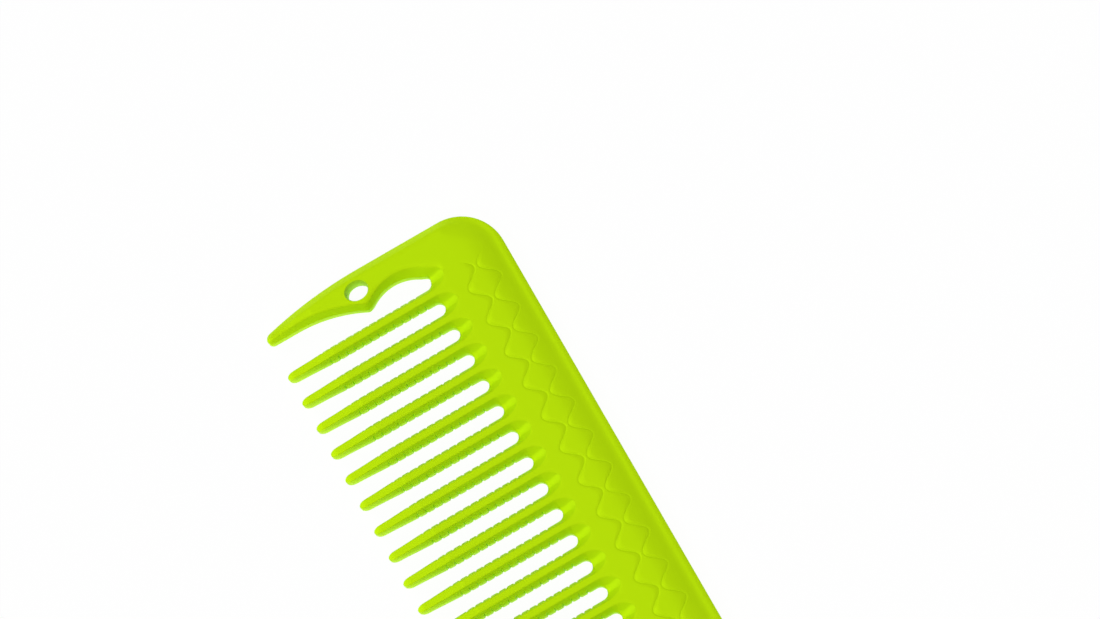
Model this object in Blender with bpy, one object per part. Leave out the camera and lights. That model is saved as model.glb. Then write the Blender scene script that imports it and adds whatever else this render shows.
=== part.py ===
"""A grooming comb, half coarse and half fine, moulded in one piece of lime plastic.

The moulding is shaped whole: a lengthwise section trimmed to the outline, then cut by
the slots between the teeth and by the hole in the hook.  It is then divided along its
tooth lines into named regions, each a solid of its own.

Places on the comb are given as (s, v, z) in millimetres: s along the comb from its
coarse end, v across it from the spine edge towards the tips, z from the middle plane.
"""

import math
from collections import namedtuple

import bmesh
import bpy
from mathutils import Vector

MM = 0.001

# Driving dimensions, in millimetres
TIP_LINE = 25.0
THICKNESS = 2.7
PARTING_LAND = 1.0
CORNER_RADIUS = 4.85
END_CHAMFER = 0.78

COARSE_TEETH = 31
COARSE_PITCH = 2.94
COARSE_TOOTH = 1.5
COARSE_FLAT = 0.42
FIRST_COARSE = 6.2
COARSE_SLOT_ROOT = 8.18
COARSE_ARCH_TOP = 6.63

FINE_TEETH = 66
FINE_PITCH = 1.39
FINE_TOOTH = 0.73
FINE_FLAT = 0.33
FINE_SLOT_ROOT = 7.57
FINE_ARCH_TOP = 6.55
GUARD_WIDTH = 3.35
FINE_TIP_SLOPE = 0.0167
TEETH_PER_FINE_GROUP = 6

# Spine: a thin round-edged lip that swells softly to the full thickness
LIP_EDGE = ((0.0, 0.3), (0.1, 0.5), (0.32, 0.63))
LIP_HALF = 0.67
LIP_WIDTH = 0.7
SWELL_LENGTH = 0.85
SWELL_STATIONS = (LIP_WIDTH, 1.1, 1.5, 1.9, 2.6, 3.3, 4.2)
SWELL_END = 5.7

# Hook tooth: its inner edge at the land and at the face, and a hanging hole.  A throat arc and a
# tip arc meet at a round nose; the throat starts at its v, and the slot's root arc at its angle
HookEdge = namedtuple("HookEdge", "throat_centre throat tip nose throat_start root_start")
LAND_HOOK = HookEdge((7.72, 11.5), 4.6, 15.0, 1.0, 8.5, 235)
FACE_HOOK = HookEdge((7.64, 11.04), 5.19, 15.54, 0.6, 6.85, 270)
TIP_ARC_CENTRE = (17.38, 22.0)
HOOK_SWEEP_START = 14.0
HOOK_SWEEP_RADIUS = 44.0
HOLE_CENTRE = (2.06, 14.92)
HOLE_HALF_SIZE = (0.85, 1.11)
HOLE_RIM = 0.12
HOLE_RIM_DEPTH = 0.15
GUARD_SWEEP_START = 8.0
GUARD_SWEEP_RADIUS = 63.0

# Lines across the comb where one region ends and the next begins
SPINE_LINE = 2.4
WEB_LINE = 6.35
COARSE_ROOT_LINE = 9.0
SEAM = 0.03

# How far the cutters pass the faces and the outline, and how much a slot still widens there
CUTTER_MARGIN = 0.1
OVERRUN = 1.0
OVERRUN_WIDENING = 0.06

# Derived sizes
HALF = THICKNESS / 2
LAND_HALF = PARTING_LAND / 2
COARSE_SLOT = COARSE_PITCH - COARSE_TOOTH
COARSE_FACE_SLOT = COARSE_PITCH - COARSE_FLAT
FINE_SLOT = FINE_PITCH - FINE_TOOTH
FINE_FACE_SLOT = FINE_PITCH - FINE_FLAT
LAST_COARSE = FIRST_COARSE + (COARSE_TEETH - 1) * COARSE_PITCH
FIRST_FINE_SLOT = LAST_COARSE + COARSE_TOOTH / 2 + FINE_SLOT / 2
LAST_FINE_SLOT = FIRST_FINE_SLOT + FINE_TEETH * FINE_PITCH
LENGTH = LAST_FINE_SLOT + GUARD_WIDTH
CUTTER_HALF = HALF + CUTTER_MARGIN
FLARE = (CUTTER_HALF - LAND_HALF) / (HALF - LAND_HALF)

# Tooth taper: distance from the tip, slot growth at the land and at the face, half thickness
COARSE_TAPER = ((5.0, 0.08, -0.03, HALF), (0.6, 0.22, 0.0, 1.05), (0.0, 0.44, 0.1, 0.65))
FINE_TAPER = ((5.0, 0.06, 0.02, HALF), (0.6, 0.11, 0.05, 1.05), (0.0, 0.21, 0.1, 0.65))

LIME = (0.456, 0.738, 0.006, 1.0)
ROUGHNESS = 0.38
ARC_STEPS_COARSE = 6
ARC_STEPS_FINE = 4
ARC_STEPS_EDGE = 10
ARC_STEPS_NOSE = 4
ARC_STEPS_HOLE = 16
SHARP_ANGLE = math.radians(35)


def clear_scene():
    for old in list(bpy.data.objects):
        bpy.data.objects.remove(old, do_unlink=True)


def new_collection(name):
    collection = bpy.data.collections.new(name)
    bpy.context.scene.collection.children.link(collection)
    return collection


def lime_plastic():
    material = bpy.data.materials.new("lime_plastic")
    material.use_nodes = True
    shader = material.node_tree.nodes["Principled BSDF"]
    shader.inputs["Base Color"].default_value = LIME
    shader.inputs["Roughness"].default_value = ROUGHNESS
    shader.inputs["Metallic"].default_value = 0.0
    return material


def place(s, v, z):
    """Comb place in millimetres to the part's frame in metres, lying on its back face."""
    return Vector((s - LENGTH / 2, TIP_LINE / 2 - v, HALF + z)) * MM


def tip_line(s):
    """Where the tips end: level along the coarse half, rising towards the fine end."""
    return TIP_LINE - FINE_TIP_SLOPE * max(0.0, s - FIRST_FINE_SLOT)


def arc(centre, radii, start, end, steps):
    """Points on an elliptic arc, angles in degrees from +s towards +v."""
    points = []
    for step in range(steps + 1):
        angle = math.radians(start + (end - start) * step / steps)
        points.append((centre[0] + radii[0] * math.cos(angle), centre[1] + radii[1] * math.sin(angle)))
    return points


def loft_into(mesh, sections):
    """Add a closed body that passes through sections of equal point count."""
    rings = [[mesh.verts.new(place(*point)) for point in section] for section in sections]
    count = len(rings[0])
    faces = [mesh.faces.new(rings[0]), mesh.faces.new(reversed(rings[-1]))]
    for lower, upper in zip(rings, rings[1:]):
        for index in range(count):
            following = (index + 1) % count
            faces.append(mesh.faces.new((lower[following], lower[index], upper[index], upper[following])))
    bmesh.ops.recalc_face_normals(mesh, faces=faces)


def mesh_object(name, bodies, collection):
    """One object that holds the lofted bodies, each a list of sections."""
    mesh = bmesh.new()
    for sections in bodies:
        loft_into(mesh, sections)
    data = bpy.data.meshes.new(name)
    mesh.to_mesh(data)
    mesh.free()
    made = bpy.data.objects.new(name, data)
    collection.objects.link(made)
    return made


def boolean(target, cutter, operation, name):
    """A new mesh: target combined with cutter."""
    modifier = target.modifiers.new(operation.lower(), "BOOLEAN")
    modifier.operation = operation
    modifier.object = cutter
    graph = bpy.context.evaluated_depsgraph_get()
    data = bpy.data.meshes.new_from_object(target.evaluated_get(graph))
    target.modifiers.remove(modifier)
    data.name = name
    return data


def half_thickness(v):
    """Half thickness between the spine lip and the tooth roots."""
    swell = max(0.0, v - LIP_WIDTH) / SWELL_LENGTH
    return LIP_HALF + (HALF - LIP_HALF) * (1 - (1 + swell) * math.exp(-swell))


def face_profile(s):
    """The front face of the lengthwise section, from the spine edge to the tips."""
    points = list(LIP_EDGE)
    for v in SWELL_STATIONS:
        points.append((v, half_thickness(v)))
    points.append((SWELL_END, HALF))
    for from_tip, _, _, half in COARSE_TAPER:
        points.append((tip_line(s) - from_tip, half))
    return points


def section_blank(collection):
    """The lengthwise section swept along the comb, with its tips rising past the middle."""
    sections = []
    for s in (-OVERRUN, FIRST_FINE_SLOT, LENGTH + OVERRUN):
        front = face_profile(s)
        back = [(v, -z) for v, z in reversed(front)]
        sections.append([(s, v, z) for v, z in front + back])
    return mesh_object("section_blank", [sections], collection)


def end_edge(sweep_start, sweep_radius, inset):
    """One end from its corner to past the tips, as distances in from the end."""
    along = CORNER_RADIUS - inset
    points = arc((CORNER_RADIUS, CORNER_RADIUS), (along, CORNER_RADIUS), 270, 180, ARC_STEPS_EDGE)
    drop = TIP_LINE + OVERRUN - sweep_start
    span = math.degrees(math.asin(drop / sweep_radius))
    radii = (sweep_radius, sweep_radius)
    points += arc((sweep_radius + inset, sweep_start), radii, 180, 180 - span, ARC_STEPS_EDGE)
    return points


def outline_blank(collection):
    """The outline of the comb, with chamfered ends that fade out round the spine corners."""
    sections = []
    for z in (-CUTTER_HALF, -LAND_HALF, LAND_HALF, CUTTER_HALF):
        inset = END_CHAMFER * FLARE if abs(z) > LAND_HALF else 0.0
        coarse_end = end_edge(HOOK_SWEEP_START, HOOK_SWEEP_RADIUS, inset)
        fine_end = end_edge(GUARD_SWEEP_START, GUARD_SWEEP_RADIUS, inset)
        outline = coarse_end + [(LENGTH - s, v) for s, v in reversed(fine_end)]
        sections.append([(s, v, z) for s, v in outline])
    return mesh_object("outline_blank", [sections], collection)


def slot_side(half, taper, column, tip):
    """Half widths down one side of a slot, from its root arc to past the tips."""
    points = [(half + row[column], tip - row[0]) for row in taper]
    return points + [(points[-1][0] + OVERRUN_WIDENING, tip + OVERRUN)]


def slot_outline(centre, root, half, side, steps):
    """A slot in plan: round root, widening sides."""
    left = [(centre - width, v) for width, v in reversed(side)]
    right = [(centre + width, v) for width, v in side]
    return left + arc((centre, root + half), (half, half), 180, 360, steps) + right


def flared_slot(land, face):
    """A slot through the comb that flares from the parting land to both faces."""
    flared = [(a + (c - a) * FLARE, b + (d - b) * FLARE) for (a, b), (c, d) in zip(land, face)]
    levels = ((-CUTTER_HALF, flared), (-LAND_HALF, land), (LAND_HALF, land), (CUTTER_HALF, flared))
    return [[(s, v, z) for s, v in outline] for z, outline in levels]


def coarse_slot(centre):
    outlines = []
    for half, root, column in ((COARSE_SLOT / 2, COARSE_SLOT_ROOT, 1),
                               (COARSE_FACE_SLOT / 2, COARSE_ARCH_TOP, 2)):
        side = slot_side(half, COARSE_TAPER, column, TIP_LINE)
        outlines.append(slot_outline(centre, root, half, side, ARC_STEPS_COARSE))
    return flared_slot(*outlines)


def fine_slot(centre):
    tip = tip_line(centre)
    outlines = []
    for half, root, column in ((FINE_SLOT / 2, FINE_SLOT_ROOT, 1),
                               (FINE_FACE_SLOT / 2, FINE_ARCH_TOP, 2)):
        side = slot_side(half, FINE_TAPER, column, tip)
        outlines.append(slot_outline(centre, root, half, side, ARC_STEPS_FINE))
    return flared_slot(*outlines)


def angle_on(centre, point):
    return math.degrees(math.atan2(point[1] - centre[1], point[0] - centre[0])) % 360


def nose_centre(edge):
    """The centre of the round nose, which touches both the throat arc and the tip arc."""
    (ax, ay), (bx, by) = edge.throat_centre, TIP_ARC_CENTRE
    throat, tip = edge.throat + edge.nose, edge.tip + edge.nose
    apart = math.hypot(bx - ax, by - ay)
    along = (throat ** 2 - tip ** 2 + apart ** 2) / (2 * apart)
    aside = math.sqrt(throat ** 2 - along ** 2)
    ux, uy = (bx - ax) / apart, (by - ay) / apart
    return ax + along * ux - aside * uy, ay + along * uy + aside * ux


def hook_inner_edge(edge):
    """The hook's inner edge from its throat round its nose to its tip."""
    nose = nose_centre(edge)
    start = 180 + math.degrees(math.asin((edge.throat_centre[1] - edge.throat_start) / edge.throat))
    end = angle_on(edge.throat_centre, nose)
    points = arc(edge.throat_centre, (edge.throat, edge.throat), start, end, ARC_STEPS_EDGE)
    turn = (angle_on(nose, edge.throat_centre) - 360, angle_on(nose, TIP_ARC_CENTRE))
    points += arc(nose, (edge.nose, edge.nose), *turn, ARC_STEPS_NOSE)[1:]
    start = angle_on(TIP_ARC_CENTRE, nose)
    points += arc(TIP_ARC_CENTRE, (edge.tip, edge.tip), start, 180, ARC_STEPS_EDGE)[1:]
    points.append((TIP_ARC_CENTRE[0] - edge.tip, TIP_LINE + OVERRUN))
    return points


def hooked_slot(centre):
    """The first coarse slot, whose left side is the hook's throat, nose and tip."""
    outlines = []
    for edge, half, root, column in ((LAND_HOOK, COARSE_SLOT / 2, COARSE_SLOT_ROOT, 1),
                                     (FACE_HOOK, COARSE_FACE_SLOT / 2, COARSE_ARCH_TOP, 2)):
        left = list(reversed(hook_inner_edge(edge)))
        root_arc = arc((centre, root + half), (half, half), edge.root_start, 360, ARC_STEPS_COARSE)
        side = slot_side(half, COARSE_TAPER, column, TIP_LINE)
        outlines.append(left + root_arc + [(centre + width, v) for width, v in side])
    return flared_slot(*outlines)


def hole_body():
    """The hanging hole with a countersunk rim on both faces."""
    land = HALF - HOLE_RIM_DEPTH
    flare = HOLE_RIM * (CUTTER_HALF - land) / HOLE_RIM_DEPTH
    sections = []
    for z, grow in ((-CUTTER_HALF, flare), (-land, 0.0), (land, 0.0), (CUTTER_HALF, flare)):
        radii = (HOLE_HALF_SIZE[0] + grow, HOLE_HALF_SIZE[1] + grow)
        ring = arc(HOLE_CENTRE, radii, 0, 360, ARC_STEPS_HOLE)[:-1]
        sections.append([(s, v, z) for s, v in ring])
    return sections


def opening_cutter(collection):
    """Every slot between teeth, the throat of the hook and the hanging hole."""
    first = FIRST_COARSE - COARSE_PITCH / 2
    bodies = [hole_body(), hooked_slot(first)]
    for index in range(1, COARSE_TEETH):
        bodies.append(coarse_slot(first + index * COARSE_PITCH))
    for index in range(FINE_TEETH + 1):
        bodies.append(fine_slot(FIRST_FINE_SLOT + index * FINE_PITCH))
    return mesh_object("openings", bodies, collection)


def whole_moulding(collection):
    """The comb before it is divided."""
    section = section_blank(collection)
    outline = outline_blank(collection)
    section.data = boolean(section, outline, "INTERSECT", "trimmed_blank")
    openings = opening_cutter(collection)
    section.data = boolean(section, openings, "DIFFERENCE", "moulding")
    return section


def region_box(name, s_range, v_range, collection):
    """A box round one region, half a seam inside its lines."""
    s0, s1 = s_range[0] + SEAM / 2, s_range[1] - SEAM / 2
    v0, v1 = v_range[0] + SEAM / 2, v_range[1] - SEAM / 2
    corners = ((s0, v0), (s1, v0), (s1, v1), (s0, v1))
    levels = (-CUTTER_HALF, CUTTER_HALF)
    sections = [[(s, v, z) for s, v in corners] for z in levels]
    return mesh_object(name + "_region", [sections], collection)


def regions():
    """Each region's name, its range along the comb and its range across it."""
    ends = (-OVERRUN, LENGTH + OVERRUN)
    past_tips = TIP_LINE + OVERRUN
    throat = FIRST_COARSE - COARSE_PITCH / 2
    found = [
        ("spine", ends, (-OVERRUN, SPINE_LINE)),
        ("web", ends, (SPINE_LINE, WEB_LINE)),
        ("hook_tooth", (-OVERRUN, throat), (WEB_LINE, past_tips)),
        ("coarse_root_strip", (throat, FIRST_FINE_SLOT), (WEB_LINE, COARSE_ROOT_LINE)),
        ("guard_tooth", (LAST_FINE_SLOT, ends[1]), (WEB_LINE, past_tips)),
    ]
    for index in range(COARSE_TEETH):
        start = throat + index * COARSE_PITCH
        end = min(start + COARSE_PITCH, FIRST_FINE_SLOT)
        found.append(("coarse_tooth_%02d" % (index + 1), (start, end), (COARSE_ROOT_LINE, past_tips)))
    group = TEETH_PER_FINE_GROUP * FINE_PITCH
    for index in range(FINE_TEETH // TEETH_PER_FINE_GROUP):
        start = FIRST_FINE_SLOT + index * group
        found.append(("fine_teeth_%02d" % (index + 1), (start, start + group), (WEB_LINE, past_tips)))
    return found


def build():
    clear_scene()
    comb = new_collection("grooming_comb")
    cutters = new_collection("cutters")
    plastic = lime_plastic()
    moulding = whole_moulding(cutters)
    for name, s_range, v_range in regions():
        box = region_box(name, s_range, v_range, cutters)
        data = boolean(moulding, box, "INTERSECT", name)
        data.materials.clear()
        data.materials.append(plastic)
        data.shade_smooth()
        data.set_sharp_from_angle(angle=SHARP_ANGLE)
        comb.objects.link(bpy.data.objects.new(name, data))
    for helper in list(cutters.objects):
        bpy.data.objects.remove(helper, do_unlink=True)


build()
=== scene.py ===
"""Looks of a lime grooming comb, half coarse and half fine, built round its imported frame.

The whole comb is one moulding, so its visible pieces meet without seams: the spine with
its web, the hook, the coarse teeth, the fine teeth and the guard tooth.

Places on the comb are (s, v, z) in millimetres: s along the comb from its coarse end,
v across it from the spine edge towards the tips, z from the middle plane.
"""

import math
from collections import namedtuple

import bmesh
import bpy
from mathutils import Matrix, Vector


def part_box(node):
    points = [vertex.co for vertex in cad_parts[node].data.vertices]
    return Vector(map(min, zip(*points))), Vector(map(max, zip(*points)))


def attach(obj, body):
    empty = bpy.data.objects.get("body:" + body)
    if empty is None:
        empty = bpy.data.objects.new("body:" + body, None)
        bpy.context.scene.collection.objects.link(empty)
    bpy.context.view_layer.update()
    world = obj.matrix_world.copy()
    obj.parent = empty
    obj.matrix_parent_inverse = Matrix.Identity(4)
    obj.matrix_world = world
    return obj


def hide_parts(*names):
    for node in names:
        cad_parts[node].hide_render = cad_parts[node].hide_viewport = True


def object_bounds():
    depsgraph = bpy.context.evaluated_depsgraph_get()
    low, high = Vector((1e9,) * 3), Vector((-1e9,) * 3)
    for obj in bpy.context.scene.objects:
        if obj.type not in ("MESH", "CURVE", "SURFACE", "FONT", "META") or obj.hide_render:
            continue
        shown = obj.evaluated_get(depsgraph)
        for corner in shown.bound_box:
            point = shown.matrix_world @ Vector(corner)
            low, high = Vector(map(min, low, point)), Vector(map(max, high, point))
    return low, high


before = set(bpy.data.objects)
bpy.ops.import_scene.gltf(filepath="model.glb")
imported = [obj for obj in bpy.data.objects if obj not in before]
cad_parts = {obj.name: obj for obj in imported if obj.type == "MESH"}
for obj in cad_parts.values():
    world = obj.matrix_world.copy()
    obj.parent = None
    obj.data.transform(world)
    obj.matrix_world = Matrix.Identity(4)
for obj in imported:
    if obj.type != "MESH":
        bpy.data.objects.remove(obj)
CAD_LOW, CAD_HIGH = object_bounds()

MM = 0.001
BODY = "root"
COARSE_NODES = sorted(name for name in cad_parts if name.startswith("coarse_tooth_"))
FINE_NODES = sorted(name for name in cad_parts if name.startswith("fine_teeth_"))


def node_middle(node):
    """Middle of a node along the comb, in millimetres from the coarse end."""
    low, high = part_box(node)
    return ((low.x + high.x) / 2 - CAD_LOW.x) / MM


def line_between(left, right):
    """Where two neighbouring nodes meet along the comb, in millimetres."""
    return ((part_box(left)[1].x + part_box(right)[0].x) / 2 - CAD_LOW.x) / MM


# Sizes read from the frame, in millimetres
LENGTH = (CAD_HIGH.x - CAD_LOW.x) / MM
TIP_LINE = (CAD_HIGH.y - CAD_LOW.y) / MM
HALF = (CAD_HIGH.z - CAD_LOW.z) / MM / 2
WEB_LINE = (CAD_HIGH.y - (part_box("web")[0].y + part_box("hook_tooth")[1].y) / 2) / MM
COARSE_TEETH = len(COARSE_NODES)
FIRST_COARSE = node_middle(COARSE_NODES[0])
LAST_COARSE = node_middle(COARSE_NODES[-1])
COARSE_PITCH = (LAST_COARSE - FIRST_COARSE) / (COARSE_TEETH - 1)
THROAT_LINE = FIRST_COARSE - COARSE_PITCH / 2
TEETH_PER_GROUP = 6
FINE_TEETH = TEETH_PER_GROUP * len(FINE_NODES)
FINE_START = line_between("coarse_root_strip", FINE_NODES[0])
FINE_END = line_between(FINE_NODES[-1], "guard_tooth")
FINE_PITCH = (FINE_END - FINE_START) / FINE_TEETH

# Section of the moulding, in millimetres
LAND_HALF = 0.5
RIDGE_SOFT = 0.11
LIP_EDGE_HALF = 0.34
LIP_HALF = 0.56
LIP_ROUND = 0.5
LIP_WIDTH = 0.7
SWELL_LENGTH = 0.85
SWELL_FOOT = 1.4
SWELL_END = 5.7
FLAT_LINE = 6.0
CROWN_SHARE = 0.12
CORNER_RADIUS = 4.85
CORNER_BLEND = 4
END_CHAMFER = 0.78
FINE_TIP_SLOPE = 0.0167

# Tooth tips: where the face begins to fall, the shoulder of the round nose, and the nose
TAPER_START = 5.0
SHOULDER_HALF = 1.05
NOSE_LENGTH = 0.9
BLUNT_NOSE_LENGTH = 0.5
NOSE_HALF = 0.5
BLUNT_END = 0.008

# Slots: half widths at the land and the face, where the root arches begin at both levels, how
# deep the face's arch is, how the sides open towards the tip as (distance from tip, growth), and
# how soft the ridges beside the slot are
Slot = namedtuple("Slot", "land face root arch_top arch_depth land_growth face_growth soft")
COARSE_SLOT = Slot(0.72, 1.15, 8.18, 6.63, 1.9, ((16.0, 0.0), (5.0, 0.06), (0.9, 0.29)),
                   ((16.0, 0.0), (5.0, -0.03), (0.9, 0.0)), RIDGE_SOFT)
FINE_SLOT = Slot(0.33, 0.53, 7.57, 6.55, 0.8, ((16.0, 0.0), (5.0, 0.06), (0.9, 0.12)),
                 ((16.0, 0.0), (5.0, 0.02), (0.9, 0.05)), 1.5 * RIDGE_SOFT)

# Slot roots: how the flanks lean in above the round land, and the hollow ramp between them
FLANK_LEAN = 0.52
RAMP_HOLLOW = 1.5
RAMP_SOFT = 0.12
RAMP_WIDEST = 0.6
CREASE_SHARE = 0.4

# Serration of the tooth sides: staggered notches, right then left
NOTCHES = 13
NOTCH_PITCH = 0.883
NOTCH_HALF = 0.15
NOTCH_DEPTH = 0.21
COARSE_NOTCH_STARTS = (9.87, 10.31)
FINE_NOTCH_STARTS = (9.78, 9.34)

# Where the points across a tooth gather: a place on its flat before the ridge, and offsets from
# its ridge and from its crease
Gather = namedtuple("Gather", "flat ridge crease")
COARSE_GATHER = Gather(0.2, (-0.06, 0.0, 0.06), (-0.05, 0.05))
FINE_GATHER = Gather(0.1, (-0.04, 0.0, 0.04), (0.0,))
RIDGE_ROOM = 2.4
STATION_GAP = 0.012
RIDGE_MARGIN = 0.2
TOUCH = 0.001

# How many rows follow the arcs of a slot's root and the nose of a tooth, and where they lie
Steps = namedtuple("Steps", "face land nose")
COARSE_STEPS = Steps(9, 6, 7)
FINE_STEPS = Steps(6, 5, 6)
ROW_GAP = 0.02
TIP_REACH = 3.4
TAPER_ROWS = 4

# Rows down the two end teeth as (gap below the root arc, count), and steps across them
HOOK_SIDE_ROWS = (0.1, 90)
GUARD_SIDE_ROWS = (0.2, 40)
END_NOSE_STEPS = 8
END_FLAT_STEPS = 6
END_EDGE_STEPS = 8

# Hook: the arcs of its inner edge at the land and at the face, its round nose and its hole
LAND_THROAT = (7.72, 11.5, 4.6)
FACE_THROAT = (7.64, 11.04, 5.19)
TIP_ARC_CENTRE = (17.38, 22.0)
TIP_ARC_RADIUS = 15.0
HOOK_FLARE = 0.54
HOOK_NOSE_SOFT = 1.35
THROAT_SOFT = 0.3
HOOK_SWEEP = (14.0, 44.0)
GUARD_SWEEP = (8.0, 63.0)
HOLE_CENTRE = (2.06, 14.92)
HOLE_HALF_SIZE = (0.85, 1.11)
HOLE_RIM = 0.14
HOLE_RIM_DEPTH = 0.55
HOLE_STEPS = 48
CUTTER_MARGIN = 0.1

# Engraved border: two mirrored waves that make a chain of ogees along the web
WAVE_PITCH = 3.66
WAVE_MIDDLES = (2.6, 4.55)
WAVE_SWING = 0.8
WAVE_STEPS = 16
GROOVE_HALF = 0.11
GROOVE_DEPTH = 0.04
GROOVE_SECTION = ((-1.0, 0.0), (-0.5, 0.75), (0.0, 1.0), (0.5, 0.75), (1.0, 0.0))
BORDER_START = 5.0
BORDER_END_MARGIN = 3.6
BORDER_FADE = 0.4

# Steps across the lip and its slope, across the plain bands beside the grooves, and round a corner
LIP_STEPS = 7
SLOPE_STEPS = 7
BAND_STEPS = (5, 6, 4)
CORNER_STEPS = 25

# Shading, the search for the hook's edge, and welding in millimetres
TOOTH_SHARP_ANGLE = math.radians(30)
WEB_SHARP_ANGLE = math.radians(50)
HALVINGS = 30
WELD = 0.0005


def place(s, v, z):
    """Comb place in millimetres to the frame, in metres."""
    return Vector((CAD_LOW.x + s * MM, CAD_HIGH.y - v * MM, CAD_LOW.z + (HALF + z) * MM))


def spread(start, end, count):
    """Evenly spaced values from start to end, both kept."""
    return [start + (end - start) * step / (count - 1) for step in range(count)]


def soft_min(a, b, radius):
    """The smaller of two heights, with a round edge where they cross."""
    overlap = max(0.0, radius - abs(a - b)) / radius
    return min(a, b) - overlap * overlap * radius / 4


def along_table(rows, value):
    """Straight-line reading of a falling table of (place, amount)."""
    if value >= rows[0][0]:
        return rows[0][1]
    for (far, before), (near, after) in zip(rows, rows[1:]):
        if value >= near:
            return before + (after - before) * (far - value) / (far - near)
    return rows[-1][1]


def nose_share(from_tip, length):
    """Share of the full width that is left inside the round nose of a tooth."""
    inside = max(0.0, 1 - from_tip / length)
    return math.sqrt(max(0.0, 1 - inside * inside))


def tip_height(from_tip):
    """Half thickness of a tooth towards its tip."""
    if from_tip < NOSE_LENGTH:
        return NOSE_HALF + (SHOULDER_HALF - NOSE_HALF) * nose_share(from_tip, NOSE_LENGTH)
    fall = (TAPER_START - from_tip) / (TAPER_START - NOSE_LENGTH)
    return soft_min(HALF, HALF - (HALF - SHOULDER_HALF) * fall, RIDGE_SOFT) if fall > 0 else HALF


def slot_half(slot, from_tip):
    """Half width of a slot at the land and at the face."""
    land = slot.land + along_table(slot.land_growth, from_tip)
    face = slot.face + along_table(slot.face_growth, from_tip)
    return land, face


def arch_chord(top, half, depth, v):
    """Half width at v of an arch that starts at its top, zero above it."""
    up = max(0.0, (top + depth - v) / depth)
    return half * math.sqrt(max(0.0, 1 - up * up))


def slot_edges(slot, v, from_tip):
    """Half widths of a slot at v, at the land and at the face, root arches included."""
    land, face = slot_half(slot, from_tip)
    land = arch_chord(slot.root, land, slot.land, v)
    return land, arch_chord(slot.arch_top, face, slot.arch_depth, v)


def flank_start(slot, v, land):
    """Half width where a slot's flank leaves the land; above the round land it runs on straight."""
    turn = slot.land / math.hypot(1, FLANK_LEAN)
    turn_line = slot.root + slot.land - FLANK_LEAN * turn
    return land if v > turn_line else turn + FLANK_LEAN * (v - turn_line)


def ramp_rise(slot, v):
    """How far up the flare the ramp at the root of a slot is."""
    share = (slot.root - v) / (slot.root - slot.arch_top)
    return share ** RAMP_HOLLOW if share > 0 else share


def flank_rise(slot, across, v, from_tip):
    """How far up the flare the flank of a slot is."""
    land, face = slot_edges(slot, v, from_tip)
    start = flank_start(slot, v, land)
    return (across - start) / (face - start)


def slot_rise(slot, across, v, from_tip):
    """How far up a slot's flare a place is: 0 at the land, 1 at the face."""
    return -soft_min(-flank_rise(slot, across, v, from_tip), -ramp_rise(slot, v), RAMP_SOFT)


def crease_place(slot, v, from_tip):
    """Half width where the flank of a slot meets its ramp, or a place up the flank below the root."""
    land, face = slot_edges(slot, v, from_tip)
    start = flank_start(slot, v, land)
    if v > slot.root - TOUCH:
        return land + CREASE_SHARE * (face - land)
    return min(RAMP_WIDEST * face, start + ramp_rise(slot, v) * (face - start))


def flare_height(rise):
    """Half thickness on a flared side."""
    return LAND_HALF + (HALF - LAND_HALF) * max(0.0, rise)


def arc_rows(slot, steps):
    """Rows across the root of a slot, close together where its arcs turn."""
    rows = [WEB_LINE]
    land_centre = slot.root + slot.land
    for angle in spread(0.0, math.pi / 2, steps.face):
        rows.append(slot.arch_top + slot.arch_depth * (1 - math.cos(angle)))
    rows = [v for v in rows if v < slot.root - ROW_GAP]
    for angle in spread(0.0, math.pi / 2, steps.land):
        rows.append(land_centre - slot.land * math.cos(angle))
    return rows


def notch_rows(starts):
    """Rows through every notch of both sides, with the bite on the right and on the left."""
    rows = []
    for side, start in enumerate(starts):
        for index in range(NOTCHES):
            middle = start + index * NOTCH_PITCH
            for offset, bite in ((-NOTCH_HALF, 0.0), (0.0, NOTCH_DEPTH), (NOTCH_HALF, 0.0)):
                rows.append((middle + offset, bite if side == 0 else 0.0, bite if side == 1 else 0.0))
    return sorted(rows)


def tip_rows(tip, count):
    """Rows down the end of a tooth, closing up round its nose."""
    rows = [tip - distance for distance in spread(TIP_REACH, NOSE_LENGTH, TAPER_ROWS)]
    for angle in spread(0.0, math.pi / 2, count)[1:-1]:
        rows.append(tip - NOSE_LENGTH * (1 - math.sin(angle)))
    return rows + [tip - BLUNT_END]


def ordered(places):
    """The same places with none of them stepping back."""
    limit = places[-1]
    last = len(places) - 1
    kept = [min(value, limit - (last - index) * STATION_GAP) for index, value in enumerate(places)]
    for index in range(1, len(kept)):
        kept[index] = max(kept[index], kept[index - 1] + STATION_GAP / 4)
    return kept


def half_stations(slot, border, v, from_tip, gather, bite):
    """Places across half a tooth, from its middle line out, gathered at its ridge and crease."""
    land, face = slot_edges(slot, v, from_tip)
    ridge = min(border - face, border - land - RIDGE_ROOM * max(gather.ridge))
    crease = border - crease_place(slot, v, from_tip)
    places = [0.0, ridge - min(gather.flat, ridge / 2)]
    places += [ridge + offset for offset in gather.ridge]
    places += [crease + offset for offset in gather.crease]
    return ordered(places + [border - land - bite])


def half_row(slot, border, v, tip, gather, bite):
    """Half of one row of a tooth's face, as (distance from its middle line, height)."""
    from_tip = tip - v
    share = nose_share(from_tip, NOSE_LENGTH)
    points = []
    for x in half_stations(slot, border, v, from_tip, gather, bite):
        rise = slot_rise(slot, border - x, v, from_tip)
        points.append((x * share, soft_min(flare_height(rise), tip_height(from_tip), slot.soft)))
    return points


def tooth_rows(left, right, tip, rows, gather):
    """Rows of face points over a tooth and its half roots; left and right are (slot, border)."""
    grid = []
    for v, right_bite, left_bite in rows:
        one = [(-x, v, z) for x, z in half_row(left[0], left[1], v, tip, gather, left_bite)]
        other = [(x, v, z) for x, z in half_row(right[0], right[1], v, tip, gather, right_bite)]
        grid.append(one[:0:-1] + other)
    return grid


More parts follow.
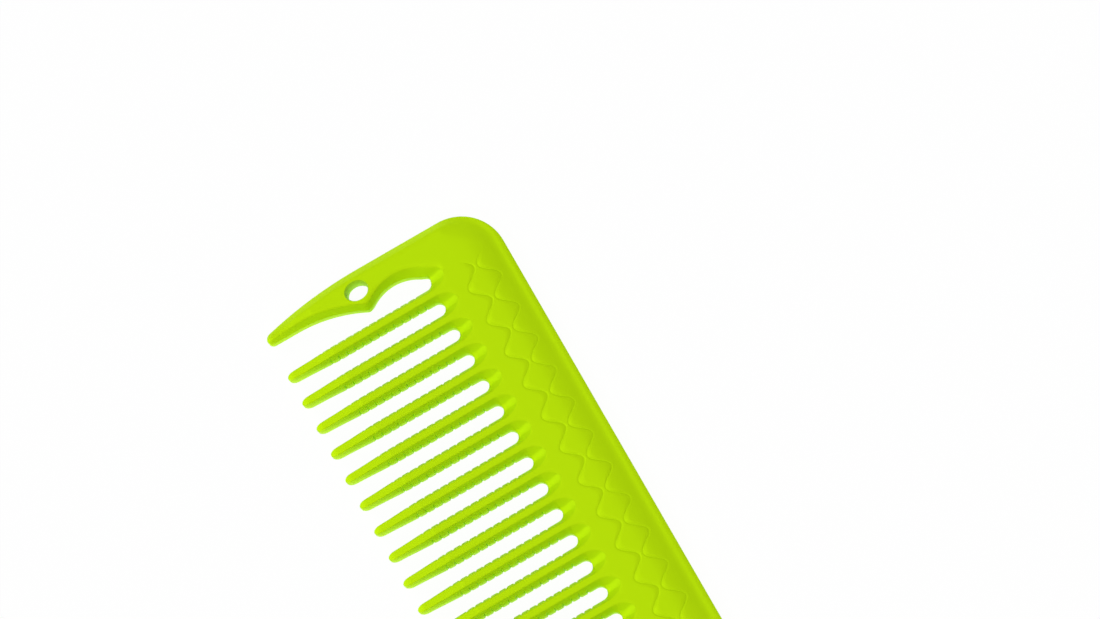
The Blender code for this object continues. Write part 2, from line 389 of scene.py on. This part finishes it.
def all_rows(slot, starts, steps):
    """Every row of a tooth from the web line to its tip, with its bites."""
    rows = [(v, 0.0, 0.0) for v in arc_rows(slot, steps)]
    rows += notch_rows(starts)
    rows += [(v, 0.0, 0.0) for v in tip_rows(TIP_LINE, steps.nose)]
    return rows


def end_tooth_rows(slot, steps, side_rows, tip):
    """Every row of an end tooth, which has no notches."""
    gap, count = side_rows
    rows = arc_rows(slot, steps)
    sides = spread(rows[-1] + gap, tip - TIP_REACH, count)[:-1]
    return rows + sides + tip_rows(tip, END_NOSE_STEPS)


def two_faced(grid, first_wall, closed_sides):
    """Vertices and faces of a body: a grid of face points, its mirror image and its walls.

    Side walls run from row first_wall on; closed_sides also walls the rows before it.
    """
    columns = len(grid[0])
    count = len(grid) * columns
    points = [point for row in grid for point in row]
    points += [(s, v, -z) for s, v, z in points]
    faces = []
    for row in range(len(grid) - 1):
        for column in range(columns - 1):
            a = row * columns + column
            b = a + columns
            faces.append((a, b, b + 1, a + 1))
            faces.append((count + a, count + a + 1, count + b + 1, count + b))
        if closed_sides or row >= first_wall:
            a = row * columns
            b = a + columns
            faces.append((a, count + a, count + b, b))
            a += columns - 1
            b += columns - 1
            faces.append((a, b, count + b, count + a))
    end = (len(grid) - 1) * columns
    for column in range(columns - 1):
        faces.append((column, column + 1, count + column + 1, count + column))
        a = end + column
        faces.append((a, count + a, count + a + 1, a + 1))
    return points, faces


def mesh_from(name, points, faces, middle=0.0):
    """A mesh of comb places; middle is added along the comb."""
    data = bpy.data.meshes.new(name)
    data.from_pydata([place(s + middle, v, z) for s, v, z in points], [], faces)
    data.update()
    return data


def new_object(name, data):
    """An object in the scene, at the origin."""
    made = bpy.data.objects.new(name, data)
    bpy.context.scene.collection.objects.link(made)
    return made


def finished(name, data, material, sharp_angle=TOOTH_SHARP_ANGLE):
    """A piece with welded points, closed ends, outward faces and soft shading."""
    body = bmesh.new()
    body.from_mesh(data)
    bmesh.ops.remove_doubles(body, verts=body.verts, dist=WELD * MM)
    bmesh.ops.dissolve_degenerate(body, edges=body.edges, dist=WELD * MM / 2)
    open_edges = [edge for edge in body.edges if edge.is_boundary]
    bmesh.ops.holes_fill(body, edges=open_edges, sides=0)
    bmesh.ops.recalc_face_normals(body, faces=body.faces)
    body.to_mesh(data)
    body.free()
    data.materials.clear()
    data.materials.append(material)
    data.shade_smooth()
    data.set_sharp_from_angle(angle=sharp_angle)
    return new_object(name, data)


# Geometry Nodes: a row of teeth


def add_socket(tree, name, direction, kind):
    """A named input or output of a tree."""
    return tree.interface.new_socket(name=name, in_out=direction, socket_type=kind)


def maths(tree, operation, first, second):
    """One operation on two sockets."""
    node = tree.nodes.new("ShaderNodeMath")
    node.operation = operation
    for index, value in enumerate((first, second)):
        tree.links.new(value, node.inputs[index])
    return node.outputs["Value"]


def row_rise(tree, given):
    """Offset that draws the tips back towards the spine along the row."""
    position = tree.nodes.new("GeometryNodeInputPosition")
    split = tree.nodes.new("ShaderNodeSeparateXYZ")
    share = tree.nodes.new("ShaderNodeMapRange")
    join = tree.nodes.new("ShaderNodeCombineXYZ")
    tree.links.new(position.outputs["Position"], split.inputs["Vector"])
    tree.links.new(split.outputs["Y"], share.inputs["Value"])
    tree.links.new(given["Root Line"], share.inputs["From Min"])
    tree.links.new(given["Tip Line"], share.inputs["From Max"])
    along = maths(tree, "SUBTRACT", split.outputs["X"], given["Rise From"])
    rise = maths(tree, "MULTIPLY", along, given["Tip Slope"])
    tree.links.new(maths(tree, "MULTIPLY", rise, share.outputs["Result"]), join.inputs["Y"])
    return join.outputs["Vector"]


def add_row_sockets(tree):
    """What a tooth row is given, and its result."""
    add_socket(tree, "Geometry", "INPUT", "NodeSocketGeometry")
    add_socket(tree, "Teeth", "INPUT", "NodeSocketInt")
    for name in ("Pitch", "Tip Slope", "Rise From", "Root Line", "Tip Line", "Weld"):
        add_socket(tree, name, "INPUT", "NodeSocketFloat")
    add_socket(tree, "Material", "INPUT", "NodeSocketMaterial")
    add_socket(tree, "Geometry", "OUTPUT", "NodeSocketGeometry")


def repeated_tooth(tree, given):
    """The given tooth, repeated along the comb at the pitch."""
    step = tree.nodes.new("ShaderNodeCombineXYZ")
    line = tree.nodes.new("GeometryNodeMeshLine")
    tooth = tree.nodes.new("GeometryNodeGeometryToInstance")
    repeat = tree.nodes.new("GeometryNodeInstanceOnPoints")
    realize = tree.nodes.new("GeometryNodeRealizeInstances")
    line.mode = "OFFSET"
    tree.links.new(given["Pitch"], step.inputs["X"])
    tree.links.new(given["Teeth"], line.inputs["Count"])
    tree.links.new(step.outputs["Vector"], line.inputs["Offset"])
    tree.links.new(given["Geometry"], tooth.inputs["Geometry"])
    tree.links.new(line.outputs["Mesh"], repeat.inputs["Points"])
    tree.links.new(tooth.outputs["Instances"], repeat.inputs["Instance"])
    tree.links.new(repeat.outputs["Instances"], realize.inputs["Geometry"])
    return realize.outputs["Geometry"]


def tooth_row_tree():
    """A tree that repeats one tooth along the comb, draws the tips back and welds the row."""
    tree = bpy.data.node_groups.new("tooth_row", "GeometryNodeTree")
    add_row_sockets(tree)
    given = tree.nodes.new("NodeGroupInput").outputs
    draw_back = tree.nodes.new("GeometryNodeSetPosition")
    weld = tree.nodes.new("GeometryNodeMergeByDistance")
    paint = tree.nodes.new("GeometryNodeSetMaterial")
    result = tree.nodes.new("NodeGroupOutput")
    tree.links.new(repeated_tooth(tree, given), draw_back.inputs["Geometry"])
    tree.links.new(row_rise(tree, given), draw_back.inputs["Offset"])
    tree.links.new(draw_back.outputs["Geometry"], weld.inputs["Geometry"])
    tree.links.new(given["Weld"], weld.inputs["Distance"])
    tree.links.new(weld.outputs["Geometry"], paint.inputs["Geometry"])
    tree.links.new(given["Material"], paint.inputs["Material"])
    tree.links.new(paint.outputs["Geometry"], result.inputs["Geometry"])
    return tree


def run_tree(carrier, tree, values):
    """Run a tree on an object with its named inputs set, and keep the plain mesh."""
    modifier = carrier.modifiers.new(tree.name, "NODES")
    modifier.node_group = tree
    for item in tree.interface.items_tree:
        if item.item_type == "SOCKET" and item.in_out == "INPUT" and item.name in values:
            modifier[item.identifier] = values[item.name]
    graph = bpy.context.evaluated_depsgraph_get()
    data = bpy.data.meshes.new_from_object(carrier.evaluated_get(graph))
    carrier.modifiers.remove(modifier)
    bpy.data.objects.remove(carrier, do_unlink=True)
    return data


def tooth_row(name, tooth, first, teeth, pitch, slope, material, tree):
    """A row of equal teeth, the first of them in its place."""
    points, faces = tooth
    carrier = new_object(name + "_tooth", mesh_from(name + "_tooth", points, faces, first))
    return run_tree(carrier, tree, {
        "Teeth": teeth,
        "Pitch": pitch * MM,
        "Tip Slope": slope,
        "Rise From": place(FINE_START, 0, 0).x,
        "Root Line": place(0, FINE_SLOT.root, 0).y,
        "Tip Line": place(0, TIP_LINE, 0).y,
        "Weld": WELD * MM,
        "Material": material,
    })


# Pieces


def first_wall_row(rows, root):
    """The first row whose sides stand in a slot."""
    return next(index for index, row in enumerate(rows) if row[0] > root - TOUCH)


def coarse_teeth(material, tree):
    """The coarse row; its last tooth stands beside a fine slot."""
    rows = all_rows(COARSE_SLOT, COARSE_NOTCH_STARTS, COARSE_STEPS)
    wall = first_wall_row(rows, COARSE_SLOT.root)
    side = (COARSE_SLOT, COARSE_PITCH / 2)
    grid = tooth_rows(side, side, TIP_LINE, rows, COARSE_GATHER)
    data = tooth_row("coarse", two_faced(grid, wall, False), FIRST_COARSE, COARSE_TEETH - 1,
                     COARSE_PITCH, 0.0, material, tree)
    last_side = (FINE_SLOT, FINE_START - LAST_COARSE)
    last = tooth_rows(side, last_side, TIP_LINE, rows, COARSE_GATHER)
    extra = mesh_from("last_coarse", *two_faced(last, wall, False), LAST_COARSE)
    body = bmesh.new()
    body.from_mesh(data)
    body.from_mesh(extra)
    body.to_mesh(data)
    body.free()
    return finished("coarse_teeth", data, material)


def fine_teeth(name, first_tooth, teeth, material, tree):
    """A run of the fine row."""
    rows = all_rows(FINE_SLOT, FINE_NOTCH_STARTS, FINE_STEPS)
    wall = first_wall_row(rows, FINE_SLOT.root)
    side = (FINE_SLOT, FINE_PITCH / 2)
    grid = tooth_rows(side, side, TIP_LINE, rows, FINE_GATHER)
    first = FINE_START + (first_tooth + 0.5) * FINE_PITCH
    data = tooth_row(name, two_faced(grid, wall, False), first, teeth, FINE_PITCH,
                     FINE_TIP_SLOPE, material, tree)
    return finished(name, data, material)


def sweep_inset(sweep, v):
    """How far an end edge has swept in from the end of the comb at v."""
    start, radius = sweep
    past = max(0.0, v - start)
    return radius - math.sqrt(radius ** 2 - past ** 2)


def end_height(inset):
    """Half thickness on the chamfer of an end edge."""
    return flare_height(inset / END_CHAMFER)


def throat_rise(s, v):
    """How far up the throat's flare a place is, between the arcs of its land and its face."""
    apart = [face - land for land, face in zip(LAND_THROAT, FACE_THROAT)]
    away = (s - LAND_THROAT[0], v - LAND_THROAT[1])
    square = apart[0] ** 2 + apart[1] ** 2 - apart[2] ** 2
    linear = -2 * (away[0] * apart[0] + away[1] * apart[1] + LAND_THROAT[2] * apart[2])
    fixed = away[0] ** 2 + away[1] ** 2 - LAND_THROAT[2] ** 2
    return (-linear - math.sqrt(max(0.0, linear ** 2 - 4 * square * fixed))) / (2 * square)


def hook_rise(s, v):
    """How far up the flare of the hook's inner edge a place is."""
    rise = throat_rise(s, v)
    if v > LAND_THROAT[1]:
        drop = min(0.0, v - TIP_ARC_CENTRE[1])
        tip = (math.hypot(s - TIP_ARC_CENTRE[0], drop) - TIP_ARC_RADIUS) / HOOK_FLARE
        return soft_min(rise, tip, HOOK_NOSE_SOFT)
    flank = flank_rise(COARSE_SLOT, THROAT_LINE - s, v, TIP_LINE - v)
    opened = soft_min(rise, flank, THROAT_SOFT)
    return -soft_min(-opened, -ramp_rise(COARSE_SLOT, v), RAMP_SOFT)


def hook_edge(v, level):
    """Where the hook's inner side reaches a level of its flare, not past the slot's middle."""
    low, high = 0.0, THROAT_LINE
    for _ in range(HALVINGS):
        middle = (low + high) / 2
        if hook_rise(middle, v) > level:
            low = middle
        else:
            high = middle
    return low


def edge_stations(outer, inner, inner_ridge):
    """Places across an end tooth, gathered at its two edges and two ridges."""
    offsets = COARSE_GATHER.ridge
    outer_ridge = outer + END_CHAMFER
    places = [outer, (outer + outer_ridge) / 2] + [outer_ridge + offset for offset in offsets]
    end = [inner_ridge - offset for offset in reversed(offsets)]
    end += spread(end[-1], inner, END_EDGE_STEPS)[1:]
    return ordered(places + spread(places[-1], end[0], END_FLAT_STEPS)[1:-1] + end)


def rounded_end(places, from_tip, length):
    """Draw a row in towards its middle inside the round end of a tooth."""
    share = nose_share(from_tip, length)
    middle = (places[0] + places[-1]) / 2
    return [middle + (value - middle) * share for value in places]


def hook_grid():
    """Rows of face points over the hook."""
    grid = []
    for v in end_tooth_rows(COARSE_SLOT, COARSE_STEPS, HOOK_SIDE_ROWS, TIP_LINE):
        outer = sweep_inset(HOOK_SWEEP, v)
        inner = hook_edge(v, 0.0) if v > COARSE_SLOT.root - TOUCH else THROAT_LINE
        ridge = min(hook_edge(v, 1.0), inner - RIDGE_MARGIN)
        spaced = edge_stations(outer, inner, ridge)
        drawn = rounded_end(spaced, TIP_LINE - v, BLUNT_NOSE_LENGTH)
        line = []
        for s, shown in zip(spaced, drawn):
            edge = min(end_height(s - outer), flare_height(hook_rise(s, v)))
            line.append((shown, v, soft_min(edge, tip_height(TIP_LINE - v), RIDGE_SOFT)))
        grid.append(line)
    return grid


def hole_cutter():
    """The hanging hole with a countersunk, softened rim on both faces."""
    rim_foot = HALF - HOLE_RIM_DEPTH
    past = HALF + CUTTER_MARGIN
    reach = HOLE_RIM * (HOLE_RIM_DEPTH + CUTTER_MARGIN) / HOLE_RIM_DEPTH
    rings = ((-past, reach), (-rim_foot, 0.0), (rim_foot, 0.0), (past, reach))
    steps = HOLE_STEPS
    points = []
    for z, grow in rings:
        for step in range(steps):
            angle = 2 * math.pi * step / steps
            points.append((HOLE_CENTRE[0] + (HOLE_HALF_SIZE[0] + grow) * math.cos(angle),
                           HOLE_CENTRE[1] + (HOLE_HALF_SIZE[1] + grow) * math.sin(angle), z))
    end = (len(rings) - 1) * steps
    faces = [tuple(range(steps)), tuple(reversed(range(end, end + steps)))]
    for ring in range(len(rings) - 1):
        for step in range(steps):
            a = ring * steps + step
            b = ring * steps + (step + 1) % steps
            faces.append((a, a + steps, b + steps, b))
    data = mesh_from("hole_cutter", points, faces)
    body = bmesh.new()
    body.from_mesh(data)
    bmesh.ops.recalc_face_normals(body, faces=body.faces)
    body.to_mesh(data)
    body.free()
    return new_object("hole_cutter", data)


def hook_tooth(material):
    """The hook with its throat, nose and hanging hole."""
    points, faces = two_faced(hook_grid(), 0, True)
    carrier = new_object("hook_blank", mesh_from("hook_blank", points, faces))
    cutter = hole_cutter()
    modifier = carrier.modifiers.new("hanging_hole", "BOOLEAN")
    modifier.operation = "DIFFERENCE"
    modifier.object = cutter
    graph = bpy.context.evaluated_depsgraph_get()
    data = bpy.data.meshes.new_from_object(carrier.evaluated_get(graph))
    for helper in (carrier, cutter):
        bpy.data.objects.remove(helper, do_unlink=True)
    return finished("hook", data, material)


def guard_grid(tip):
    """Rows of face points over the guard tooth; places across it are measured from the fine end."""
    grid = []
    for v in end_tooth_rows(FINE_SLOT, FINE_STEPS, GUARD_SIDE_ROWS, tip):
        from_tip = tip - v
        outer = sweep_inset(GUARD_SWEEP, v)
        land, face = slot_edges(FINE_SLOT, v, from_tip)
        inner = LENGTH - FINE_END - (land if v > FINE_SLOT.root - TOUCH else 0.0)
        ridge = min(LENGTH - FINE_END - face, inner - RIDGE_MARGIN)
        spaced = edge_stations(outer, inner, ridge)
        drawn = rounded_end(spaced, from_tip, NOSE_LENGTH)
        line = []
        for inset, shown in zip(spaced, drawn):
            rise = slot_rise(FINE_SLOT, LENGTH - FINE_END - inset, v, from_tip)
            edge = min(end_height(inset - outer), flare_height(rise))
            line.append((LENGTH - shown, v, soft_min(edge, tip_height(from_tip), RIDGE_SOFT)))
        grid.append(line[::-1])
    return grid


def guard_tooth(material):
    """The plain wide tooth at the fine end."""
    tip = TIP_LINE - FINE_TIP_SLOPE * (LENGTH - FINE_START)
    data = mesh_from("guard", *two_faced(guard_grid(tip), 0, True))
    return finished("guard", data, material)


def section_height(v):
    """Half thickness from the round lip of the spine to the flat of the web."""
    if v < LIP_ROUND:
        return LIP_EDGE_HALF + (LIP_HALF - LIP_EDGE_HALF) * nose_share(v, LIP_ROUND)
    past = max(0.0, v - LIP_WIDTH)
    swell = 1 - math.exp(-(past / SWELL_LENGTH) ** 2 / 2)
    crown = 1 - max(0.0, 1 - past / (SWELL_END - LIP_WIDTH)) ** 2
    return LIP_HALF + (HALF - LIP_HALF) * (swell + (crown - swell) * CROWN_SHARE)


def spine_edge(s):
    """Where the spine edge is at s, round at both corners."""
    from_end = min(s, LENGTH - s)
    if from_end >= CORNER_RADIUS:
        return 0.0
    return CORNER_RADIUS - math.sqrt(CORNER_RADIUS ** 2 - (CORNER_RADIUS - from_end) ** 2)


def web_height(s, v):
    """Half thickness of the spine and web; at the corners the spine's slope runs into the end's."""
    from_end = min(s, LENGTH - s)
    flat = section_height(v)
    if from_end >= CORNER_RADIUS:
        return flat
    along = CORNER_RADIUS - from_end
    up = max(0.0, CORNER_RADIUS - v)
    distance = max(0.0, CORNER_RADIUS - math.hypot(along, up))
    turned = math.atan2(up, along) / (math.pi / 2)
    spine_share = 1 - (1 - turned) ** CORNER_BLEND
    end = soft_min(end_height(distance), HALF, RIDGE_SOFT)
    swell = section_height(distance + LIP_WIDTH * (1 - turned))
    return min(flat, end + (swell - end) * spine_share)


def border_depth(s):
    """Share of the full groove depth at s, fading in and out at the ends of the border."""
    inside = min(s - BORDER_START, LENGTH - BORDER_END_MARGIN - s)
    return max(0.0, min(1.0, inside / BORDER_FADE))


def plain_rows(places):
    """Rows without a groove."""
    return [(v, 0.0) for v in places]


def groove_rows(middle):
    """Rows across one engraved line."""
    return [(middle + GROOVE_HALF * offset, share) for offset, share in GROOVE_SECTION]


def web_rows(s):
    """Places across the spine and web at s as (distance from the edge, groove share)."""
    turn = 2 * math.pi * (s - BORDER_START) / WAVE_PITCH
    swing = WAVE_SWING * math.sin(turn)
    first = WAVE_MIDDLES[0] + swing
    second = WAVE_MIDDLES[1] - swing
    before, between, after = BAND_STEPS
    lip = spread(0.0, math.pi / 2, LIP_STEPS)
    rows = plain_rows(LIP_ROUND * (1 - math.cos(angle)) for angle in lip)
    rows += plain_rows(spread(LIP_WIDTH, SWELL_FOOT, SLOPE_STEPS))
    rows += plain_rows(spread(SWELL_FOOT, first - GROOVE_HALF, before)[1:-1])
    rows += groove_rows(first)
    rows += plain_rows(spread(first + GROOVE_HALF, second - GROOVE_HALF, between)[1:-1])
    rows += groove_rows(second)
    rows += plain_rows(spread(second + GROOVE_HALF, SWELL_END, after)[1:])
    return rows + plain_rows((FLAT_LINE, WEB_LINE))


def web_stations():
    """Places along the comb for the web: close at the corners, even along the border."""
    angles = spread(0.0, math.pi / 2, CORNER_STEPS)
    corner = [CORNER_RADIUS * (1 - math.cos(angle)) for angle in angles]
    steps = round((LENGTH - 2 * CORNER_RADIUS) / WAVE_PITCH * WAVE_STEPS)
    middle = spread(CORNER_RADIUS, LENGTH - CORNER_RADIUS, steps)
    return corner[:-1] + middle + [LENGTH - s for s in reversed(corner[:-1])]


def spine_and_web(material):
    """The spine with its thin lip and the web with its engraved border."""
    columns = []
    for s in web_stations():
        edge = spine_edge(s)
        column = []
        for distance, groove in web_rows(s):
            v = edge + (WEB_LINE - edge) * distance / WEB_LINE
            column.append((s, v, web_height(s, v) - groove * GROOVE_DEPTH * border_depth(s)))
        columns.append(column)
    grid = [list(row) for row in zip(*columns)]
    data = mesh_from("spine_and_web", *two_faced(grid, 0, True))
    return finished("spine_and_web", data, material, WEB_SHARP_ANGLE)


# Materials


LIME = (0.470, 0.738, 0.004, 1.0)
DEEP_LIME = (0.460, 0.722, 0.003, 1.0)
GLOSS_TINT = (0.62, 1.0, 0.02, 1.0)
PLASTIC_IOR = 1.49
GLOSS_LEVEL = 0.03
SHEEN_SHARE = 0.08
ROUGHNESS = (0.4, 0.5)
CLOUD_SCALE = 90.0
CLOUD_DETAIL = 3.0
GRAIN_SCALE = 5200.0
GRAIN_DETAIL = 2.0
GRAIN_STRENGTH = 0.05
GRAIN_HEIGHT = 0.01 * MM


def noise(tree, scale, detail):
    """Noise that stays with the object."""
    where = tree.nodes.new("ShaderNodeTexCoord")
    texture = tree.nodes.new("ShaderNodeTexNoise")
    texture.inputs["Scale"].default_value = scale
    texture.inputs["Detail"].default_value = detail
    tree.links.new(where.outputs["Object"], texture.inputs["Vector"])
    return texture.outputs["Fac"]


def lime_plastic():
    """Satin lime plastic: slightly clouded colour, uneven gloss and a fine moulded grain."""
    material = bpy.data.materials.new("lime_plastic_look")
    material.use_nodes = True
    tree = material.node_tree
    shader = tree.nodes["Principled BSDF"]
    shader.inputs["Specular Tint"].default_value = GLOSS_TINT
    shader.inputs["IOR"].default_value = PLASTIC_IOR
    shader.inputs["Specular IOR Level"].default_value = GLOSS_LEVEL
    shader.inputs["Metallic"].default_value = SHEEN_SHARE
    colour = tree.nodes.new("ShaderNodeMix")
    gloss = tree.nodes.new("ShaderNodeMapRange")
    relief = tree.nodes.new("ShaderNodeBump")
    colour.data_type = "RGBA"
    colour.inputs["A"].default_value = DEEP_LIME
    colour.inputs["B"].default_value = LIME
    gloss.inputs["To Min"].default_value = ROUGHNESS[0]
    gloss.inputs["To Max"].default_value = ROUGHNESS[1]
    relief.inputs["Strength"].default_value = GRAIN_STRENGTH
    relief.inputs["Distance"].default_value = GRAIN_HEIGHT
    cloud = noise(tree, CLOUD_SCALE, CLOUD_DETAIL)
    tree.links.new(cloud, colour.inputs["Factor"])
    tree.links.new(cloud, gloss.inputs["Value"])
    tree.links.new(noise(tree, GRAIN_SCALE, GRAIN_DETAIL), relief.inputs["Height"])
    tree.links.new(colour.outputs["Result"], shader.inputs["Base Color"])
    tree.links.new(gloss.outputs["Result"], shader.inputs["Roughness"])
    tree.links.new(relief.outputs["Normal"], shader.inputs["Normal"])
    return material


def background_share(tree):
    """1 where a ray is seen by the camera, directly or in gloss or glass."""
    light_path = tree.nodes.new("ShaderNodeLightPath")
    rays = light_path.outputs
    first = maths(tree, "MAXIMUM", rays["Is Camera Ray"], rays["Is Glossy Ray"])
    return maths(tree, "MAXIMUM", first, rays["Is Transmission Ray"])


# Stage, light and camera


# Camera: the comb lies turned in the picture, tilted a little towards its fine end
LENS = 150.0
SENSOR = 36.0
FRAME_WIDTH = 107.2
AIM = (13.13, -0.553)
TILT = math.radians(13.6)
TURN = math.radians(30.018)
CLIP_SHARES = (0.05, 40)

# Floor, just under the comb, in metres
FLOOR_REACH = 3.0
FLOOR_GAP = 0.2 * MM
FLOOR_COLOUR = (0.9, 0.9, 0.9, 1.0)
FLOOR_SHADOW = 0.03

# Light: the tent above, the table below, two soft lamps, and a strip seen in the gloss
TENT_LIGHT = 0.38
TABLE_LIGHT = 1.9
HORIZON = 0.1
END_LIGHT = 1.18
MIDDLE_LIGHT = 0.95
LAMP_ELEVATION = math.radians(52)
LAMP_ANGLE = math.radians(30)
TOWARDS_TIPS = 0.75
STRIP_RADIANCE = 3.6
STRIP_DISTANCE = 1.2
STRIP_LEAN = math.radians(45)
STRIP_SIDE = math.radians(-13.6)
STRIP_HALF_LENGTH = math.radians(41)
STRIP_HALF_WIDTH = math.radians(12)


def floor_white():
    """A surface that shows almost white and keeps a faint shadow."""
    material = bpy.data.materials.new("floor_white")
    material.use_nodes = True
    tree = material.node_tree
    tree.nodes.remove(tree.nodes["Principled BSDF"])
    output = tree.nodes["Material Output"]
    diffuse = tree.nodes.new("ShaderNodeBsdfDiffuse")
    glow = tree.nodes.new("ShaderNodeEmission")
    mix = tree.nodes.new("ShaderNodeMixShader")
    share = tree.nodes.new("ShaderNodeMath")
    diffuse.inputs["Color"].default_value = FLOOR_COLOUR
    glow.inputs["Strength"].default_value = 1.0
    share.operation = "MULTIPLY"
    share.inputs[1].default_value = 1 - FLOOR_SHADOW
    tree.links.new(background_share(tree), share.inputs[0])
    tree.links.new(share.outputs["Value"], mix.inputs[0])
    tree.links.new(diffuse.outputs["BSDF"], mix.inputs[1])
    tree.links.new(glow.outputs["Emission"], mix.inputs[2])
    tree.links.new(mix.outputs["Shader"], output.inputs["Surface"])
    return material


def white_floor():
    """A pale floor that lets the light from below reach the comb."""
    reach = FLOOR_REACH
    data = bpy.data.meshes.new("floor")
    corners = [(-reach, -reach, 0), (reach, -reach, 0), (reach, reach, 0), (-reach, reach, 0)]
    data.from_pydata(corners, [], [(0, 1, 2, 3)])
    data.materials.append(floor_white())
    floor = new_object("floor", data)
    floor.location.z = CAD_LOW.z - FLOOR_GAP
    floor.visible_diffuse = False
    floor.visible_shadow = False


def white_world():
    """A white tent over a light table; to the camera both are plain white."""
    world = bpy.data.worlds.new("white_tent")
    bpy.context.scene.world = world
    world.use_nodes = True
    tree = world.node_tree
    background = tree.nodes["Background"]
    background.inputs["Color"].default_value = (1.0, 1.0, 1.0, 1.0)
    where = tree.nodes.new("ShaderNodeTexCoord")
    split = tree.nodes.new("ShaderNodeSeparateXYZ")
    light = tree.nodes.new("ShaderNodeMapRange")
    strength = tree.nodes.new("ShaderNodeMix")
    light.inputs["From Min"].default_value = -HORIZON
    light.inputs["From Max"].default_value = HORIZON
    light.inputs["To Min"].default_value = TABLE_LIGHT
    light.inputs["To Max"].default_value = TENT_LIGHT
    strength.inputs["B"].default_value = 1.0
    tree.links.new(where.outputs["Generated"], split.inputs["Vector"])
    tree.links.new(split.outputs["Z"], light.inputs["Value"])
    tree.links.new(background_share(tree), strength.inputs["Factor"])
    tree.links.new(light.outputs["Result"], strength.inputs["A"])
    tree.links.new(strength.outputs["Result"], background.inputs["Strength"])


def add_lamp(name, lamp, turn, middle=Vector()):
    """A lamp turned and put in its place."""
    light = bpy.data.objects.new(name, lamp)
    bpy.context.scene.collection.objects.link(light)
    light.matrix_world = Matrix.Translation(middle) @ turn.to_4x4()
    return light


def soft_light(name, along, across, strength):
    """A large soft light beside the comb; it leaves no glints on the edges."""
    lamp = bpy.data.lights.new(name, "SUN")
    lamp.energy = strength
    lamp.angle = LAMP_ANGLE
    level = Vector((along, -across, 0.0)).normalized() * math.cos(LAMP_ELEVATION)
    direction = level + Vector((0, 0, math.sin(LAMP_ELEVATION)))
    light = add_lamp(name, lamp, direction.to_track_quat("Z", "Y").to_matrix())
    light.visible_glossy = False


def gloss_strip():
    """A long softbox from over the comb to beyond its tips, seen in the sheen of the plastic."""
    lamp = bpy.data.lights.new("gloss_strip", "AREA")
    lamp.shape = "RECTANGLE"
    lamp.size = 2 * STRIP_DISTANCE * math.tan(STRIP_HALF_WIDTH)
    lamp.size_y = 2 * STRIP_DISTANCE * math.tan(STRIP_HALF_LENGTH)
    lamp.energy = STRIP_RADIANCE * math.pi * lamp.size * lamp.size_y
    turn = Matrix.Rotation(STRIP_SIDE, 3, "Y") @ Matrix.Rotation(STRIP_LEAN, 3, "X")
    middle = place(AIM[0], AIM[1], 0) + turn @ Vector((0, 0, STRIP_DISTANCE))
    light = add_lamp("gloss_strip", lamp, turn, middle)
    light.visible_diffuse = False


def photo_camera():
    """The camera of the photo's lower view."""
    along = Vector((1, 0, 0))
    across = Vector((0, -1, 0))
    back = Vector((math.sin(TILT), 0, math.cos(TILT)))
    seen_along = (along - back * along.dot(back)).normalized()
    right = seen_along * math.sin(TURN) - across * math.cos(TURN)
    down = seen_along * math.cos(TURN) + across * math.sin(TURN)
    lens = bpy.data.cameras.new("photo_camera")
    lens.lens = LENS
    lens.sensor_width = SENSOR
    distance = FRAME_WIDTH * MM * LENS / SENSOR
    lens.clip_start, lens.clip_end = [distance * share for share in CLIP_SHARES]
    camera = bpy.data.objects.new("photo_camera", lens)
    bpy.context.scene.collection.objects.link(camera)
    turn = Matrix((right, -down, back)).transposed().to_4x4()
    camera.matrix_world = Matrix.Translation(place(AIM[0], AIM[1], 0) + back * distance) @ turn
    bpy.context.scene.camera = camera


def dress(piece, nodes):
    """Ride on the comb and stand for its nodes."""
    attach(piece, BODY)
    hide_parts(*nodes)


def build():
    """Make and dress the comb, then its stage, light and camera."""
    plastic = lime_plastic()
    tree = tooth_row_tree()
    dress(spine_and_web(plastic), ["spine", "web"])
    dress(hook_tooth(plastic), ["hook_tooth"])
    dress(guard_tooth(plastic), ["guard_tooth"])
    dress(coarse_teeth(plastic, tree), ["coarse_root_strip"] + COARSE_NODES)
    inner_groups = (len(FINE_NODES) + 1) // 2
    inner_teeth = inner_groups * TEETH_PER_GROUP
    inner = fine_teeth("fine_teeth_inner", 0, inner_teeth, plastic, tree)
    outer = fine_teeth("fine_teeth_outer", inner_teeth, FINE_TEETH - inner_teeth, plastic, tree)
    dress(inner, FINE_NODES[:inner_groups])
    dress(outer, FINE_NODES[inner_groups:])
    white_floor()
    white_world()
    soft_light("end_light", -1.0, TOWARDS_TIPS, END_LIGHT)
    soft_light("middle_light", 1.0, TOWARDS_TIPS, MIDDLE_LIGHT)
    gloss_strip()
    photo_camera()
    bpy.context.scene.view_settings.view_transform = "Standard"


build()
